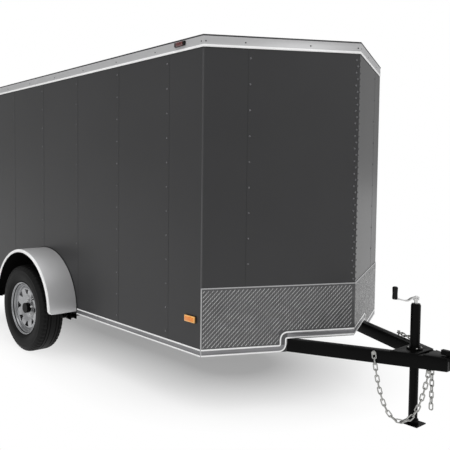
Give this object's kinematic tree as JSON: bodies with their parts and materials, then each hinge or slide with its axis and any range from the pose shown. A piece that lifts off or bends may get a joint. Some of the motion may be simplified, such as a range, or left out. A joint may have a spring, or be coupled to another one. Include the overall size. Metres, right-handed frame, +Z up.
{
  "type": "enclosed cargo trailer",
  "caption": "Enclosed V-nose cargo trailer on a sprung axle, with hinged rear doors, turning wheels, a tongue jack, a ball coupler and safety chains.",
  "frame": {"origin": "on the ground, under the centre of the whole trailer's box, lock rods to coupler nose", "axes": "+X forward to the coupler, +Y to the trailer's left, +Z up"},
  "size_m": [4.228, 2.329, 2.215],
  "materials": {
    "black_frame_paint": "semi-gloss black paint",
    "plywood": "exterior plywood, bare",
    "charcoal_skin": "gloss prepainted charcoal aluminium sheet",
    "roof_sheet": "mill finish aluminium sheet",
    "mill_aluminium": "satin mill aluminium",
    "tread_plate": "bright tread plate",
    "zinc_steel": "zinc plated steel",
    "amber_lens": "amber lens",
    "red_lens": "red lens",
    "tyre_rubber": "black rubber",
    "silver_wheel_paint": "silver wheel paint"
  },
  "bodies": {
    "trailer": {"main_rail_right": "black_frame_paint", "main_rail_left": "black_frame_paint", "rear_sill": "black_frame_paint", "crossmembers": "black_frame_paint", "nose_frame": "black_frame_paint", "tongue_rail_right": "black_frame_paint", "tongue_rail_left": "black_frame_paint", "jack_plate": "black_frame_paint", "floor_deck": "plywood", "side_wall_right": "charcoal_skin", "side_wall_left": "charcoal_skin", "nose_wall_right": "charcoal_skin", "nose_wall_left": "charcoal_skin", "roof": "roof_sheet", "roof_trim": "mill_aluminium", "lower_trim_right": "mill_aluminium", "lower_trim_left": "mill_aluminium", "nose_trim": "mill_aluminium", "stone_guard_right": "tread_plate", "stone_guard_left": "tread_plate", "rear_post_right": "mill_aluminium", "rear_post_left": "mill_aluminium", "rear_header": "mill_aluminium", "door_hinge_lugs": "zinc_steel", "axle": "black_frame_paint", "leaf_spring_right": "black_frame_paint", "leaf_spring_left": "black_frame_paint", "spring_hangers": "black_frame_paint", "spring_clamps": "zinc_steel", "fender_right": "mill_aluminium", "fender_left": "mill_aluminium", "coupler": "black_frame_paint", "coupler_latch": "zinc_steel", "jack_tube": "black_frame_paint", "jack_crank": "black_frame_paint", "amber_side_lights": "amber_lens", "red_marker_lights": "red_lens", "tail_lights": "red_lens", "safety_chain_right": "zinc_steel", "safety_chain_left": "zinc_steel"},
    "door_right": {"rear_door_right": "charcoal_skin", "hinge_straps_right": "zinc_steel", "door_lock_right": "zinc_steel"},
    "door_left": {"rear_door_left": "charcoal_skin", "hinge_straps_left": "zinc_steel", "door_lock_left": "zinc_steel", "number_plate": "mill_aluminium"},
    "wheel_right": {"tyre_right": "tyre_rubber", "rim_right": "silver_wheel_paint", "hub_right": "zinc_steel"},
    "wheel_left": {"tyre_left": "tyre_rubber", "rim_left": "silver_wheel_paint", "hub_left": "zinc_steel"},
    "jack": {"jack_leg": "black_frame_paint"}
  },
  "joints": [
    {"name": "wheel_right_spin", "type": "hinge", "parent": "trailer", "child": "wheel_right", "pos_m": [-0.816, -1.057, 0.343], "axis": [0, 1, 0], "continuous": true},
    {"name": "wheel_left_spin", "type": "hinge", "parent": "trailer", "child": "wheel_left", "pos_m": [-0.816, 1.057, 0.343], "axis": [0, 1, 0], "continuous": true},
    {"name": "rear_door_right_hinge", "type": "hinge", "parent": "trailer", "child": "door_right", "pos_m": [-2.098, -0.9165, 1.3], "axis": [0, 0, 1], "range_deg": [0, 240]},
    {"name": "rear_door_left_hinge", "type": "hinge", "parent": "trailer", "child": "door_left", "pos_m": [-2.098, 0.9165, 1.3], "axis": [0, 0, -1], "range_deg": [0, 240]},
    {"name": "jack_slide", "type": "slide", "parent": "trailer", "child": "jack", "axis": [0, 0, 1], "range_m": [-0.038, 0.216]}
  ]
}
